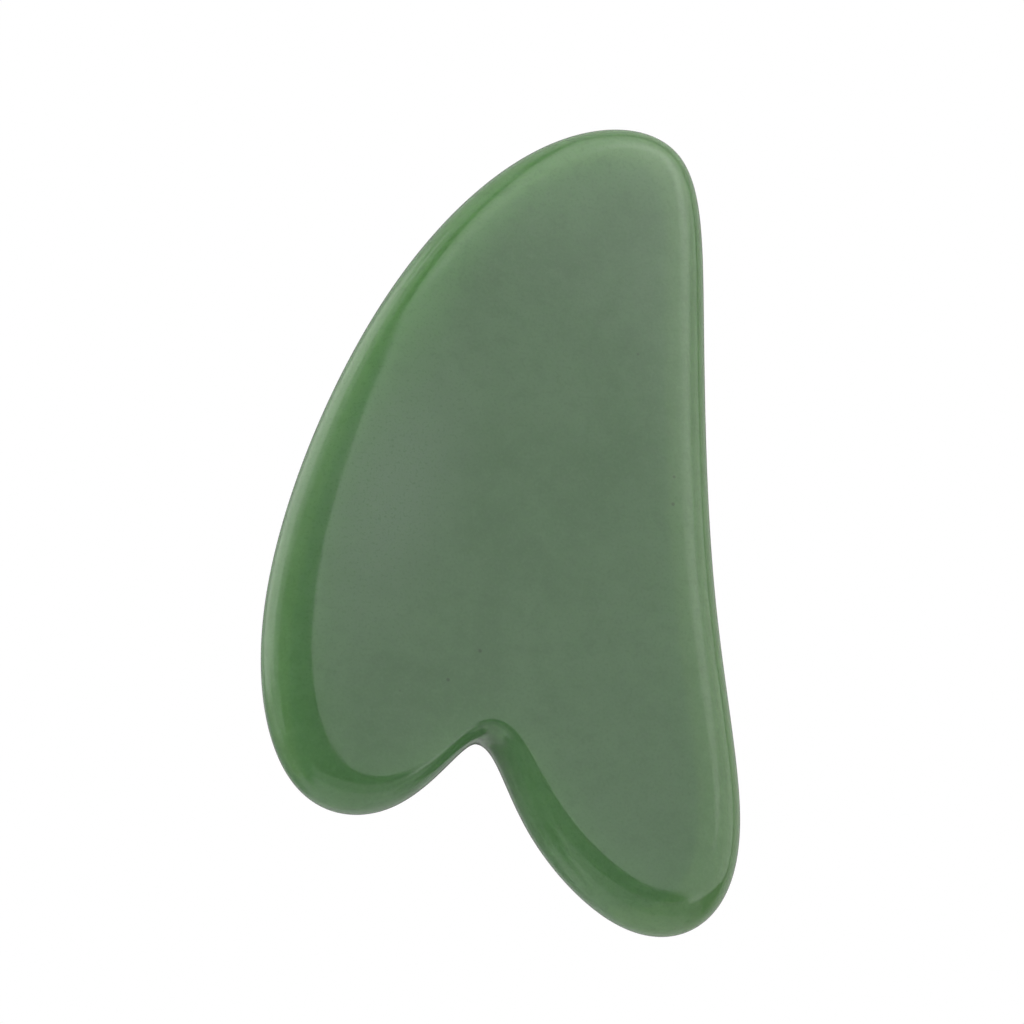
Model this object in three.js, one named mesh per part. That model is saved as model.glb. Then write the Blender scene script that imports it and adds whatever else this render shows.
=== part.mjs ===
// Gua sha scraper: a hand-held massage tool cut from one slab of green stone.
// It has a rounded tip, a long bulging side, a nearly straight side, and two rounded lobes with
// a notch between them. Both faces are flat, and the whole rim is rounded over and polished.
//
// Millimetres. The stone lies on its back face at z = 0, with the origin under the middle of its
// box. +Y runs from the lobes to the tip, +X from the bulging side to the straight side, and +Z
// out of the front face.

import * as THREE from 'three';
import { ParametricGeometry } from 'three/addons/geometries/ParametricGeometry.js';
import { mergeGeometries, mergeVertices } from 'three/addons/utils/BufferGeometryUtils.js';

// Driving dimensions
const LENGTH = 93;
const WIDTH = 55;
const THICKNESS = 7;

// Outline at mid-thickness, anticlockwise: the control points of a closed cubic B-spline, each
// with the width over which the rim is rounded there.
const OUTLINE = [
  // tip, on the bulging side
  { x: 5.25, y: 46.75, rounding: 3.2 },
  // bulging side
  { x: -15.5, y: 24.5, rounding: 3.8 },
  { x: -30, y: -14, rounding: 4.75 },
  // short lobe
  { x: -25.5, y: -36.5, rounding: 4.6 },
  { x: -12, y: -37, rounding: 3 },
  // notch
  { x: -4, y: -26.5, rounding: 1.7 },
  { x: -0.75, y: -26.5, rounding: 1.8 },
  { x: 2.5, y: -37, rounding: 3.3 },
  // long lobe
  { x: 13, y: -47.25, rounding: 4.5 },
  { x: 23.5, y: -47, rounding: 5 },
  { x: 29.5, y: -35.5, rounding: 4.5 },
  // straight side
  { x: 24, y: -9, rounding: 4.5 },
  { x: 24, y: 28, rounding: 4.5 },
  // tip, on the straight side
  { x: 24, y: 48, rounding: 3.6 },
];

// Facets: round the outline, and from one face over the rim to the other
const OUTLINE_STEPS = 168;
const ROUNDING_STEPS = 12;

// Vertices closer than this are one vertex.
const MERGE_DISTANCE = 1e-4;

const STONE_COLOR = 0x5f785e;
const STONE_ROUGHNESS = 0.15;

// Weighted sum of the four control points that shape the outline near one point of it
function blend(controls, weights) {
  const sum = { x: 0, y: 0, rounding: 0 };
  controls.forEach((control, i) => {
    sum.x += weights[i] * control.x;
    sum.y += weights[i] * control.y;
    sum.rounding += weights[i] * control.rounding;
  });
  return sum;
}

// The outline at u, which goes once round from 0 to 1: the point, the width of the rounding and
// the outward normal
function outlineAt(u) {
  const count = OUTLINE.length;
  const position = (u % 1) * count;
  const span = Math.floor(position);
  const t = position - span;
  const controls = [-1, 0, 1, 2].map((step) => OUTLINE[(span + step + count) % count]);
  const point = blend(controls, [
    (1 - t) ** 3 / 6,
    (3 * t ** 3 - 6 * t ** 2 + 4) / 6,
    (-3 * t ** 3 + 3 * t ** 2 + 3 * t + 1) / 6,
    t ** 3 / 6,
  ]);
  const tangent = blend(controls, [
    -((1 - t) ** 2) / 2,
    (3 * t ** 2 - 4 * t) / 2,
    (-3 * t ** 2 + 2 * t + 1) / 2,
    t ** 2 / 2,
  ]);
  const normal = new THREE.Vector2(tangent.y, -tangent.x).normalize();
  return { ...point, normal };
}

// The rim's surface: u goes round the outline, and v over the half-elliptical rounding from the
// edge of the back face at 0 to the edge of the front face at 1.
function rimPoint(u, v, target) {
  const { x, y, rounding, normal } = outlineAt(u);
  const turn = Math.PI * (v - 0.5);
  const inset = rounding * (1 - Math.cos(turn));
  const height = (THICKNESS / 2) * (1 + Math.sin(turn));
  target.set(x - inset * normal.x, y - inset * normal.y, height);
}

// A flat face that closes the rim at its edge v, facing up or down
function flatFace(v, facesUp) {
  const corner = new THREE.Vector3();
  const corners = [];
  for (let i = 0; i < OUTLINE_STEPS; i += 1) {
    rimPoint(i / OUTLINE_STEPS, v, corner);
    corners.push(new THREE.Vector2(corner.x, corner.y));
  }
  const face = new THREE.ShapeGeometry(new THREE.Shape(corners));
  face.translate(0, 0, corner.z);
  if (!facesUp) {
    face.index.array.reverse();
  }
  return face;
}

// Joins open surfaces into one closed one.
function closedSurface(surfaces) {
  surfaces.forEach((surface) => {
    surface.deleteAttribute('normal');
    surface.deleteAttribute('uv');
  });
  const closed = mergeVertices(mergeGeometries(surfaces), MERGE_DISTANCE);
  closed.computeVertexNormals();
  return closed;
}

// Stretches the stone to its driving length and width, and centres it over the origin.
function fitToSize(geometry) {
  geometry.computeBoundingBox();
  const { min, max } = geometry.boundingBox;
  geometry.translate(-(min.x + max.x) / 2, -(min.y + max.y) / 2, 0);
  geometry.scale(WIDTH / (max.x - min.x), LENGTH / (max.y - min.y), 1);
}

function stone() {
  const rim = new ParametricGeometry(rimPoint, OUTLINE_STEPS, ROUNDING_STEPS);
  const geometry = closedSurface([rim, flatFace(1, true), flatFace(0, false)]);
  fitToSize(geometry);
  const material = new THREE.MeshStandardMaterial({
    color: STONE_COLOR,
    roughness: STONE_ROUGHNESS,
    metalness: 0,
  });
  const mesh = new THREE.Mesh(geometry, material);
  mesh.name = 'scraper_stone';
  return mesh;
}

const scraper = new THREE.Group();
scraper.add(stone());

export default scraper;
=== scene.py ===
"""Looks of the gua sha scraper: one slab of polished green stone on a pale table.

Metres, in the frame's own axes: the stone lies on its back face at z = 0, with +Y towards the
tip, +X towards the straight side and +Z out of the front face.
"""

import math

import bpy
import numpy as np
from mathutils import Matrix, Vector
from mathutils.geometry import delaunay_2d_cdt


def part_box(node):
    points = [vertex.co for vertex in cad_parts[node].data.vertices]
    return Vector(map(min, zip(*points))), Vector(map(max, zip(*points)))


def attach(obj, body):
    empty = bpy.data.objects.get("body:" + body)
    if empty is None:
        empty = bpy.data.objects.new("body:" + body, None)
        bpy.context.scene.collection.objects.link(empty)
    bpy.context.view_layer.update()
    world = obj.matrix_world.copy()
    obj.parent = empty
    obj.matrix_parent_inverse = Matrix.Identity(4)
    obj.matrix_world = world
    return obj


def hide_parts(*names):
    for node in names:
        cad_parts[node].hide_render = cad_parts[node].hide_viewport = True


MM = 0.001

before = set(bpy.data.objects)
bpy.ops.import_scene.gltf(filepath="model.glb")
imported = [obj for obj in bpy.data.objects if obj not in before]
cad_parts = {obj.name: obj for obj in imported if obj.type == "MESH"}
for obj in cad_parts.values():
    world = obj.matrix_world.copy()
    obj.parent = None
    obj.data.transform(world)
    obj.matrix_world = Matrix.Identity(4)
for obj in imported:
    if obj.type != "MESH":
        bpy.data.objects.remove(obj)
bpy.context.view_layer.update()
low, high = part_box("scraper_stone")
centre = (low + high) / 2
thickness = high.z - low.z

# Outline at mid-thickness, anticlockwise, in millimetres: the control points of a closed cubic
# B-spline, each with the width over which the rim is rounded there.
OUTLINE = [
    # tip, on the bulging side
    (5.25, 46.75, 3.2),
    # bulging side
    (-15.5, 24.5, 3.8),
    (-30, -14, 4.75),
    # short lobe
    (-25.5, -36.5, 4.6),
    (-12, -37, 3),
    # notch
    (-4, -26.5, 1.7),
    (-0.75, -26.5, 1.8),
    (2.5, -37, 3.3),
    # long lobe
    (13, -47.25, 4.5),
    (23.5, -47, 5),
    (29.5, -35.5, 4.5),
    # straight side
    (24, -9, 4.5),
    (24, 28, 4.5),
    # tip, on the straight side
    (24, 48, 3.6),
]

# At the tip, where the rim faces this way, each face still falls a little inside the rounding.
SHOULDER = 6 * MM
SHOULDER_FALL = 0.45 * MM
SHOULDER_CURVE = 1.5
SHOULDER_FACES = (0.45, 0.89)

# Fineness of the visible mesh
STEPS_PER_POINT = 36
ROUNDING_STEPS = 40
FACE_GRID = 0.9 * MM
EDGE_CLEARANCE = 0.6 * FACE_GRID
MERGE_DISTANCE = 1e-9


# --- Stone: shape -------------------------------------------------------------------------


def outline_rings():
    """Points, outward normals and rounding widths round the outline, in metres, in the frame."""
    controls = np.array(OUTLINE, float)
    count = len(controls)
    position = np.arange(count * STEPS_PER_POINT) / STEPS_PER_POINT
    span = position.astype(int)
    t = position - span
    weights = [
        (1 - t) ** 3 / 6,
        (3 * t**3 - 6 * t**2 + 4) / 6,
        (-3 * t**3 + 3 * t**2 + 3 * t + 1) / 6,
        t**3 / 6,
    ]
    slopes = [
        -((1 - t) ** 2) / 2,
        (3 * t**2 - 4 * t) / 2,
        (-3 * t**2 + 2 * t + 1) / 2,
        t**2 / 2,
    ]
    near = [controls[(span + step) % count] for step in (-1, 0, 1, 2)]
    points = sum(w[:, None] * c for w, c in zip(weights, near))
    tangents = sum(s[:, None] * c for s, c in zip(slopes, near))[:, :2]
    normals = np.stack([tangents[:, 1], -tangents[:, 0]], 1)
    normals /= np.linalg.norm(normals, axis=1)[:, None]
    flat = points[:, :2]
    middle = (flat.max(0) + flat.min(0)) / 2
    size = np.array([high.x - low.x, high.y - low.y])
    flat = (flat - middle) * size / (flat.max(0) - flat.min(0)) + np.array(centre.xy)
    return flat, normals, points[:, 2] * MM


def half_height(inset, normals, width):
    """Half the stone's thickness inside the outline by inset, where the rim rounds over width."""
    rounding = np.sqrt(1 - np.clip(1 - inset / width, 0, 1) ** 2)
    share = np.clip(normals @ SHOULDER_FACES, 0, 1)
    fall = share * SHOULDER_FALL * np.clip(1 - inset / (width + SHOULDER), 0, 1) ** SHOULDER_CURVE
    return rounding * (thickness / 2 - fall)


def rim_rings(flat, normals, widths):
    """Rings over the rounded rim, from the back face's edge to the front's."""
    rings = []
    for turn in np.linspace(-math.pi / 2, math.pi / 2, ROUNDING_STEPS + 1):
        inset = widths * (1 - math.cos(turn))
        height = np.copysign(half_height(inset, normals, widths), turn)
        rings.append(np.column_stack([flat - normals * inset[:, None], centre.z + height]))
    return rings


def face_mesh(edge, normals, widths):
    """A fine triangle mesh inside the edge of a face: the points past the edge, the triangles
    (which number the edge's points first), and half the thickness at each of those points.
    """
    steps_x = np.arange(low.x, high.x, FACE_GRID)
    steps_y = np.arange(low.y, high.y, FACE_GRID)
    grid = np.array([(x, y) for x in steps_x for y in steps_y])
    apart = np.hypot(*(grid[:, None] - edge[None]).T).T
    inner = grid[apart.min(1) > EDGE_CLEARANCE]
    points = [Vector(p) for p in edge] + [Vector(p) for p in inner]
    border = [(i, (i + 1) % len(edge)) for i in range(len(edge))]
    ring = list(range(len(edge)))
    found = delaunay_2d_cdt(points, border, [ring], 1, MERGE_DISTANCE)
    inside = np.array([tuple(p) for p in found[0][len(edge) :]])
    apart = np.hypot(*(inside[:, None] - edge[None]).T).T
    near = apart.argmin(1)
    width = widths[near]
    return inside, found[2], half_height(width + apart.min(1), normals[near], width)


def stone_mesh():
    """The stone's closed surface: the rounded rim and the two faces inside it."""
    flat, normals, widths = outline_rings()
    rings = rim_rings(flat, normals, widths)
    around = len(flat)
    points = [tuple(p) for ring in rings for p in ring]
    faces = []
    for ring in range(ROUNDING_STEPS):
        start = ring * around
        for i in range(around):
            j = (i + 1) % around
            faces.append((start + i, start + j, start + around + j, start + around + i))
    inside, triangles, height = face_mesh(rings[0][:, :2], normals, widths)
    for ring, side in ((0, -1), (ROUNDING_STEPS, 1)):
        first = len(points) - around
        points += [(x, y, centre.z + side * h) for (x, y), h in zip(inside, height)]
        for triangle in triangles:
            corners = [ring * around + i if i < around else first + i for i in triangle]
            faces.append(tuple(corners[::side]))
    mesh = bpy.data.meshes.new("stone")
    mesh.from_pydata(points, [], faces)
    mesh.update()
    mesh.shade_smooth()
    return mesh


stone = bpy.data.objects.new("stone", stone_mesh())
bpy.context.scene.collection.objects.link(stone)
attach(stone, "root")
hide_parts("scraper_stone")


# --- Stone: material ----------------------------------------------------------------------


# A radius so large that it has no effect
ENDLESS = 1000


class Nodes:
    """Short calls for building one node tree."""

    def __init__(self, tree, place="Object"):
        self.tree = tree
        self.place = self.add("ShaderNodeTexCoord").outputs[place]

    def add(self, kind, **settings):
        node = self.tree.nodes.new(kind)
        for name, value in settings.items():
            setattr(node, name, value)
        return node

    def put(self, socket, value):
        """Sets a socket, or links it where the value is another node's output."""
        if isinstance(value, bpy.types.NodeSocket):
            self.tree.links.new(value, socket)
        else:
            socket.default_value = value

    def noise(self, size, detail=2.0, roughness=0.5, distortion=0.0):
        """Soft noise from 0 to 1 whose lumps are about this size."""
        scaled = self.add("ShaderNodeMapping")
        scaled.inputs["Scale"].default_value = [1 / size] * 3
        self.put(scaled.inputs["Vector"], self.place)
        noise = self.add("ShaderNodeTexNoise")
        self.put(noise.inputs["Vector"], scaled.outputs["Vector"])
        self.put(noise.inputs["Scale"], 1.0)
        self.put(noise.inputs["Detail"], detail)
        self.put(noise.inputs["Roughness"], roughness)
        self.put(noise.inputs["Distortion"], distortion)
        return noise.outputs["Fac"]

    def spots(self, spacing, radius, share):
        """1 inside small round spots, in this share of the cells of this size, and 0 elsewhere."""
        cells = self.add("ShaderNodeTexVoronoi")
        self.put(cells.inputs["Vector"], self.place)
        self.put(cells.inputs["Scale"], 1 / spacing)
        near = self.span(cells.outputs["Distance"], 0.4 * radius / spacing, radius / spacing, 1, 0)
        chosen = self.add("ShaderNodeSeparateColor")
        self.put(chosen.inputs["Color"], cells.outputs["Color"])
        kept = self.math("LESS_THAN", chosen.outputs["Red"], share)
        return self.math("MULTIPLY", near, kept)

    def span(self, value, low_in, high_in, low_out, high_out):
        """Carries one range smoothly to another."""
        node = self.add("ShaderNodeMapRange", interpolation_type="SMOOTHSTEP")
        self.put(node.inputs["Value"], value)
        self.put(node.inputs["From Min"], low_in)
        self.put(node.inputs["From Max"], high_in)
        self.put(node.inputs["To Min"], low_out)
        self.put(node.inputs["To Max"], high_out)
        return node.outputs["Result"]

    def math(self, operation, *values):
        node = self.add("ShaderNodeMath", operation=operation)
        for socket, value in zip(node.inputs, values):
            self.put(socket, value)
        return node.outputs["Value"]

    def mix(self, factor, first, second):
        """Blends from the first colour to the second."""
        node = self.add("ShaderNodeMix", data_type="RGBA")
        self.put(node.inputs[0], factor)
        self.put(node.inputs[6], first)
        self.put(node.inputs[7], second)
        return node.outputs[2]

    def mound(self, middle, radii, turn, top=0.0):
        """An ellipse on the face, turned anticlockwise by so many degrees.

        It is 1 in the middle and out to the share of it that top gives, and falls softly to 0 at
        its edge.
        """
        scaled = self.add("ShaderNodeMapping", vector_type="TEXTURE")
        self.put(scaled.inputs["Vector"], self.place)
        scaled.inputs["Location"].default_value = (*middle, 0)
        scaled.inputs["Rotation"].default_value = (0, 0, math.radians(turn))
        scaled.inputs["Scale"].default_value = (*radii, ENDLESS)
        length = self.add("ShaderNodeVectorMath", operation="LENGTH")
        self.put(length.inputs[0], scaled.outputs["Vector"])
        return self.span(length.outputs["Value"], top, 1, 1, 0)


GREEN = (0.0745, 0.168, 0.069, 1)
DEEP_GREEN = (0.061, 0.148, 0.056, 1)
PALE_GREEN = (0.089, 0.185, 0.082, 1)
# Painted glow: a lighter green that stands for light shining in through the rim
PAINTED_GLOW_GREEN = (0.092, 0.214, 0.079, 1)
MILKY = (0.134, 0.222, 0.135, 1)
SPECK = (0.03, 0.062, 0.028, 1)


def stone_material():
    """Polished jade-like stone: clouds, mottle, fine grain, a few specks, a milky patch, and
    painted glow: a lighter green along the bulging side and at the tip, standing for light that
    shines in through the rim.
    """
    material = bpy.data.materials.new("stone")
    material.use_nodes = True
    shader = material.node_tree.nodes["Principled BSDF"]
    made = Nodes(material.node_tree)

    clouds = made.span(made.noise(13 * MM, 3, 0.55, 0.6), 0.32, 0.7, 0, 1)
    colour = made.mix(clouds, DEEP_GREEN, PALE_GREEN)
    colour = made.mix(0.5, colour, GREEN)
    # Painted glow: a band along the bulging side, outside the face's heart, made lighter green to
    # stand for light shining in through the rim
    heart = made.mound((29.6 * MM, 7.7 * MM), (41 * MM, 41 * MM), 0, 0.91)
    side = made.mound((-13 * MM, 25 * MM), (19 * MM, 34 * MM), -33, 0.3)
    painted_side_glow = made.math("MULTIPLY", made.math("SUBTRACT", 1, heart), side)
    colour = made.mix(made.math("MULTIPLY", painted_side_glow, 0.5), colour, PAINTED_GLOW_GREEN)
    # Painted glow: the tip made lighter green to stand for light shining in through the stone
    # there
    tip = made.mound((6.5 * MM, 38.5 * MM), (19 * MM, 10 * MM), 25, 0.1)
    colour = made.mix(made.math("MULTIPLY", tip, 0.45), colour, PAINTED_GLOW_GREEN)
    mottle = made.noise(1.6 * MM, 3, 0.6, 0.4)
    colour = made.mix(made.span(mottle, 0.3, 0.5, 0.4, 0), colour, DEEP_GREEN)
    colour = made.mix(made.span(mottle, 0.5, 0.7, 0, 0.35), colour, PALE_GREEN)
    milk = made.mound((-14.5 * MM, -0.5 * MM), (12 * MM, 25 * MM), -18)
    colour = made.mix(made.math("MULTIPLY", milk, 0.7), colour, MILKY)
    grain = made.noise(0.35 * MM, 3, 0.65)
    colour = made.mix(made.span(grain, 0.3, 0.5, 0.5, 0), colour, DEEP_GREEN)
    colour = made.mix(made.span(grain, 0.5, 0.7, 0, 0.4), colour, PALE_GREEN)
    specks = made.spots(4.5 * MM, 0.28 * MM, 0.3)
    colour = made.mix(made.math("MULTIPLY", specks, 0.55), colour, SPECK)
    made.put(shader.inputs["Base Color"], colour)

    shader.inputs["IOR"].default_value = 1.6
    shader.inputs["Subsurface Weight"].default_value = 1.0
    shader.inputs["Subsurface Radius"].default_value = (0.88, 1.0, 0.65)
    shader.inputs["Subsurface Scale"].default_value = 30 * MM

    smears = made.noise(8 * MM, 4, 0.6)
    made.put(shader.inputs["Roughness"], made.span(smears, 0.25, 0.75, 0.08, 0.14))
    relief = made.math("ADD", made.math("MULTIPLY", made.noise(2.5 * MM, 2), 3), grain)
    bump = made.add("ShaderNodeBump")
    bump.inputs["Strength"].default_value = 0.25
    bump.inputs["Distance"].default_value = 0.02 * MM
    made.put(bump.inputs["Height"], relief)
    made.put(shader.inputs["Normal"], bump.outputs["Normal"])
    return material


stone.data.materials.append(stone_material())


# --- Table, lights and camera -------------------------------------------------------------

TABLE_SIZE = 3.0
BACKDROP_SIZE = 6.0
BACKDROP_HEIGHT = 2.0

# Heights of the sheets just under the stone
TABLE_HEIGHT = -0.1 * MM
TABLE_LIGHT_HEIGHT = -0.15 * MM
CONTACT_SHADE_HEIGHT = -0.05 * MM


def square(size, height):
    """The corners of a level square, anticlockwise."""
    half = size / 2
    corners = [(-half, -half), (half, -half), (half, half), (-half, half)]
    return [(x, y, height) for x, y in corners]


def glowing_sheet(name, corners, glow, walls=()):
    """A sheet that isn't part of the object, glows evenly, and isn't seen in the polish.

    Where walls are given, they rise from the sheet's corners to these upper ones.
    """
    count = len(corners)
    faces = [range(count)]
    if walls:
        around = [(i, (i + 1) % count) for i in range(count)]
        faces += [(i, j, count + j, count + i) for i, j in around]
    mesh = bpy.data.meshes.new(name)
    mesh.from_pydata([*corners, *walls], [], faces)
    sheet = bpy.data.objects.new(name, mesh)
    bpy.context.scene.collection.objects.link(sheet)
    material = bpy.data.materials.new(name)
    material.use_nodes = True
    shader = material.node_tree.nodes["Principled BSDF"]
    shader.inputs["Base Color"].default_value = (0, 0, 0, 1)
    shader.inputs["Specular IOR Level"].default_value = 0.0
    shader.inputs["Emission Color"].default_value = (1, 1, 1, 1)
    shader.inputs["Emission Strength"].default_value = glow
    mesh.materials.append(material)
    sheet.visible_glossy = False
    return sheet


def table():
    """A white table top and backdrop for the camera, the dimmer light that the table gives, and
    a black sheet of painted shade where the stone lies on it.
    """
    backdrop = square(BACKDROP_SIZE, BACKDROP_HEIGHT)
    seen = glowing_sheet("table", square(TABLE_SIZE, TABLE_HEIGHT), 1.0, backdrop)
    seen.visible_diffuse = False
    seen.visible_shadow = False
    seen.active_material.cycles.emission_sampling = "NONE"
    light = glowing_sheet("table_light", square(TABLE_SIZE, TABLE_LIGHT_HEIGHT), 0.27)
    light.visible_camera = False
    # Painted shade: a black sheet under the stone, inside the rounding, standing for the shade
    # where the stone lies on the table
    flat, normals, widths = outline_rings()
    edge = [(x, y, CONTACT_SHADE_HEIGHT) for x, y in flat - normals * widths[:, None]]
    contact_shade = glowing_sheet("contact_shade", edge, 0)
    contact_shade.visible_camera = False


def direction(azimuth, elevation):
    """The unit vector towards these angles, in degrees."""
    a = math.radians(azimuth)
    e = math.radians(elevation)
    return Vector((math.cos(e) * math.cos(a), math.cos(e) * math.sin(a), math.sin(e)))


def softbox(name, azimuths, elevations, radiance, core=0.0, mirrored=True, distance=0.6):
    """A rectangular light that faces the stone and fills these angles, as the stone sees them.

    Its radiance grows by core from its edge to its middle. One that isn't mirrored lights the
    stone and the table, but isn't seen in the polish.
    """
    azimuth = sum(azimuths) / 2
    elevation = sum(elevations) / 2
    spread = math.radians(azimuths[1] - azimuths[0]) / 2
    rise = math.radians(elevations[1] - elevations[0]) / 2
    tilt = math.radians(elevation)
    ahead = math.sin(tilt) ** 2 + math.cos(tilt) ** 2 * math.cos(spread)
    width = 2 * distance * math.cos(tilt) * math.sin(spread) / ahead
    height = 2 * distance * math.tan(rise)
    data = bpy.data.lights.new(name, "AREA")
    data.shape = "RECTANGLE"
    data.size = width
    data.size_y = height
    data.energy = radiance * math.pi * width * height
    if core:
        brighten_core(data, core / radiance)
    light = bpy.data.objects.new(name, data)
    light.visible_glossy = mirrored
    towards = direction(azimuth, elevation)
    light.location = centre + towards * distance
    light.rotation_euler = towards.to_track_quat("Z", "Y").to_euler()
    bpy.context.scene.collection.objects.link(light)


def brighten_core(data, gain):
    """Makes a rectangular light 1 + gain times as bright in its middle as at its edge."""
    data.use_nodes = True
    nodes = data.node_tree.nodes
    links = data.node_tree.links
    place = nodes.new("ShaderNodeNewGeometry")
    offset = nodes.new("ShaderNodeVectorMath")
    offset.operation = "SUBTRACT"
    offset.inputs[1].default_value = (0.5, 0.5, 0)
    length = nodes.new("ShaderNodeVectorMath")
    length.operation = "LENGTH"
    strength = nodes.new("ShaderNodeMapRange")
    strength.interpolation_type = "SMOOTHSTEP"
    strength.inputs["From Min"].default_value = 0.1
    strength.inputs["From Max"].default_value = 0.5
    strength.inputs["To Min"].default_value = 1 + gain
    strength.inputs["To Max"].default_value = 1
    links.new(place.outputs["Parametric"], offset.inputs[0])
    links.new(offset.outputs["Vector"], length.inputs[0])
    links.new(length.outputs["Value"], strength.inputs["Value"])
    links.new(strength.outputs["Result"], nodes["Emission"].inputs["Strength"])


def surroundings(above, below, patches):
    """Even surroundings above and below the horizon, with soft round patches below it.

    The polish mirrors them, as the table isn't mirrored. Each patch is its azimuth and elevation,
    the angles from its middle at which it starts to fade and is gone, and its radiance.
    """
    world = bpy.data.worlds.new("studio")
    world.use_nodes = True
    world.cycles.sampling_method = "NONE"
    world.cycles_visibility.diffuse = False
    made = Nodes(world.node_tree, "Generated")
    radiance = below
    for azimuth, elevation, fades, gone, level in patches:
        aligned = made.add("ShaderNodeVectorMath", operation="DOT_PRODUCT")
        made.put(aligned.inputs[0], made.place)
        made.put(aligned.inputs[1], direction(azimuth, elevation))
        near = math.cos(math.radians(fades))
        far = math.cos(math.radians(gone))
        radiance = made.span(aligned.outputs["Value"], far, near, radiance, level)
    split = made.add("ShaderNodeSeparateXYZ")
    made.put(split.inputs[0], made.place)
    radiance = made.span(split.outputs["Z"], -0.02, 0.04, radiance, above)
    background = world.node_tree.nodes["Background"]
    made.put(background.inputs["Color"], (1, 1, 1, 1))
    made.put(background.inputs["Strength"], radiance)
    bpy.context.scene.world = world


# The camera's angle off the stone's normal, the point it looks at, from the middle of the stone,
# and the width that it sees there
CAMERA_TILT = 27
CAMERA_AIM = Vector((1.0, -0.3, 0)) * MM
CAMERA_DISTANCE = 550 * MM
CAMERA_FIELD = 112.3 * MM


def camera():
    """Looks down on the stone from 27 degrees off its normal, with the tip up in the picture."""
    towards = direction(-138, 90 - CAMERA_TILT)
    aim = centre + CAMERA_AIM
    data = bpy.data.cameras.new("camera")
    data.lens = data.sensor_width * CAMERA_DISTANCE / CAMERA_FIELD
    data.clip_start = 0.01
    eye = bpy.data.objects.new("camera", data)
    up = Vector((0, 1, 0))
    up = (up - up.dot(towards) * towards).normalized()
    right = up.cross(towards)
    turn = Matrix((right, up, towards)).transposed().to_4x4()
    eye.matrix_world = Matrix.Translation(aim + towards * CAMERA_DISTANCE) @ turn
    bpy.context.scene.collection.objects.link(eye)
    bpy.context.scene.camera = eye


table()
surroundings(
    0.12,
    0.65,
    [
        (-88, -20, 38, 50, 0.85),
        (-155, -52, 14, 30, 0.35),
        (-156, -15, 6, 20, 0.2),
        (-174, -15, 4, 12, 0.9),
        (-24, -5, 4, 14, 0.4),
        (145, -20, 23, 32, 1.75),
        (42, -63, 10, 32, 0.1),
    ],
)
softbox("scrim", (-24, 110), (5, 71), 1.12)
softbox("key", (20, 97), (18, 59.5), 0.6)
softbox("key_core", (18, 82), (18, 57), 0.05, core=1.25)
softbox("rear_strip", (113, 176), (0, 7), 0.9)
softbox("rear_card", (98, 192), (0, 24), 0.6)
softbox("front_card", (-135, -20), (0, 65), 0.4)
softbox("front_low", (-132, -45), (0, 35), 0.35)
softbox("rear_wash", (118, 182), (8, 28), 4.0, mirrored=False)
softbox("left_wash", (-172, -112), (8, 28), 3.4, mirrored=False)
softbox("right_wash", (-25, 45), (8, 28), 0.4, mirrored=False)
softbox("front_wash", (-115, -45), (8, 28), 0.2, mirrored=False)
camera()
bpy.context.scene.view_settings.view_transform = "Standard"
